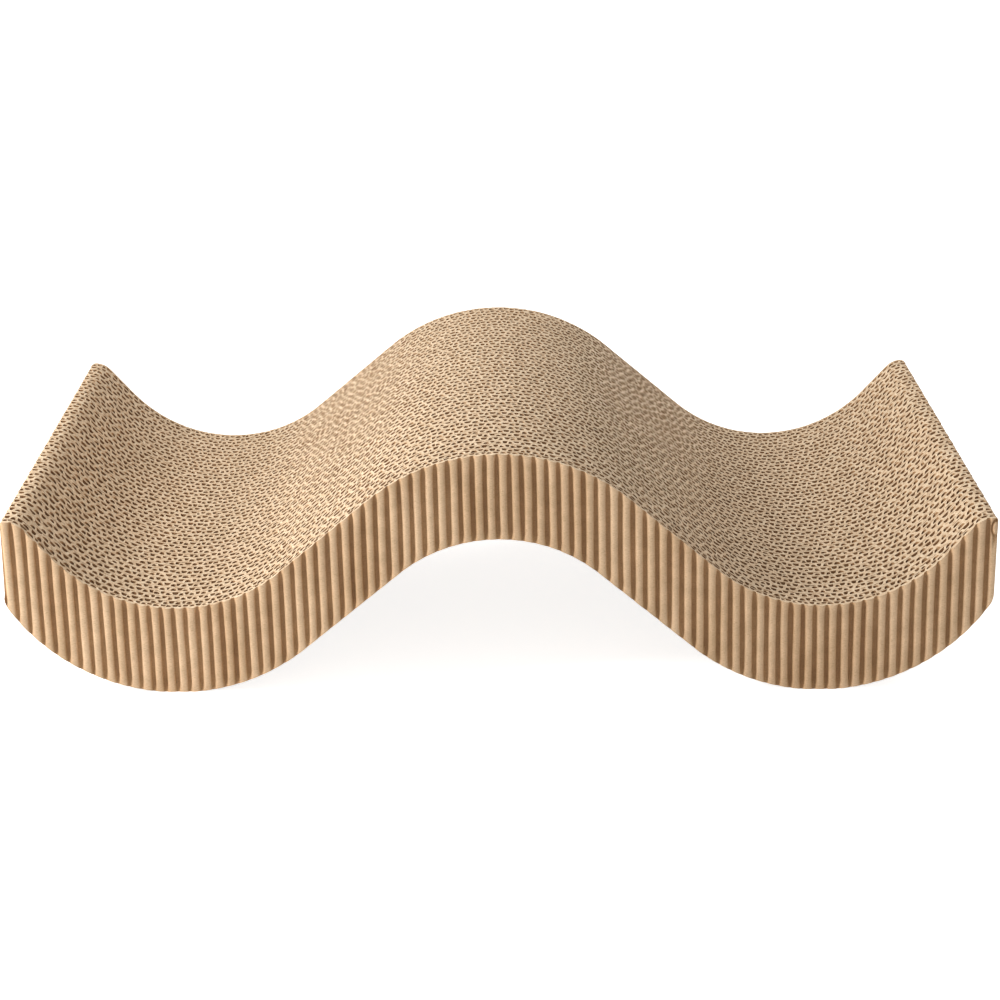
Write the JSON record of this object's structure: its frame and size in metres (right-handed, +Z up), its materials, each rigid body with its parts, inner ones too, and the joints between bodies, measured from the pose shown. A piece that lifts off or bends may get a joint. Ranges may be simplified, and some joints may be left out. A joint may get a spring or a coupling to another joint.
{
  "type": "cardboard cat scratcher",
  "caption": "Wave-shaped block of corrugated cardboard strips glued side by side, for a cat to scratch and lie on, with a raised crest over an arch and a seat at each side.",
  "frame": {"origin": "middle of the footprint, on the surface that the block rests on", "axes": "+X along the block to the right as seen from the front, +Y from the front strip to the back strip, +Z up"},
  "size_m": [0.489, 0.296, 0.1235],
  "materials": {
    "kraft_board": "bare matt kraft paper"
  },
  "bodies": {
    "root": {"strip_01": "kraft_board", "strip_02": "kraft_board", "strip_03": "kraft_board", "strip_04": "kraft_board", "strip_05": "kraft_board", "strip_06": "kraft_board", "strip_07": "kraft_board", "strip_08": "kraft_board", "strip_09": "kraft_board", "strip_10": "kraft_board", "strip_11": "kraft_board", "strip_12": "kraft_board", "strip_13": "kraft_board", "strip_14": "kraft_board", "strip_15": "kraft_board", "strip_16": "kraft_board", "strip_17": "kraft_board", "strip_18": "kraft_board", "strip_19": "kraft_board", "strip_20": "kraft_board", "strip_21": "kraft_board", "strip_22": "kraft_board", "strip_23": "kraft_board", "strip_24": "kraft_board", "strip_25": "kraft_board", "strip_26": "kraft_board", "strip_27": "kraft_board", "strip_28": "kraft_board", "strip_29": "kraft_board", "strip_30": "kraft_board", "strip_31": "kraft_board", "strip_32": "kraft_board", "strip_33": "kraft_board", "strip_34": "kraft_board", "strip_35": "kraft_board", "strip_36": "kraft_board", "strip_37": "kraft_board", "strip_38": "kraft_board", "strip_39": "kraft_board", "strip_40": "kraft_board", "strip_41": "kraft_board", "strip_42": "kraft_board", "strip_43": "kraft_board", "strip_44": "kraft_board", "strip_45": "kraft_board", "strip_46": "kraft_board", "strip_47": "kraft_board"}
  },
  "joints": []
}
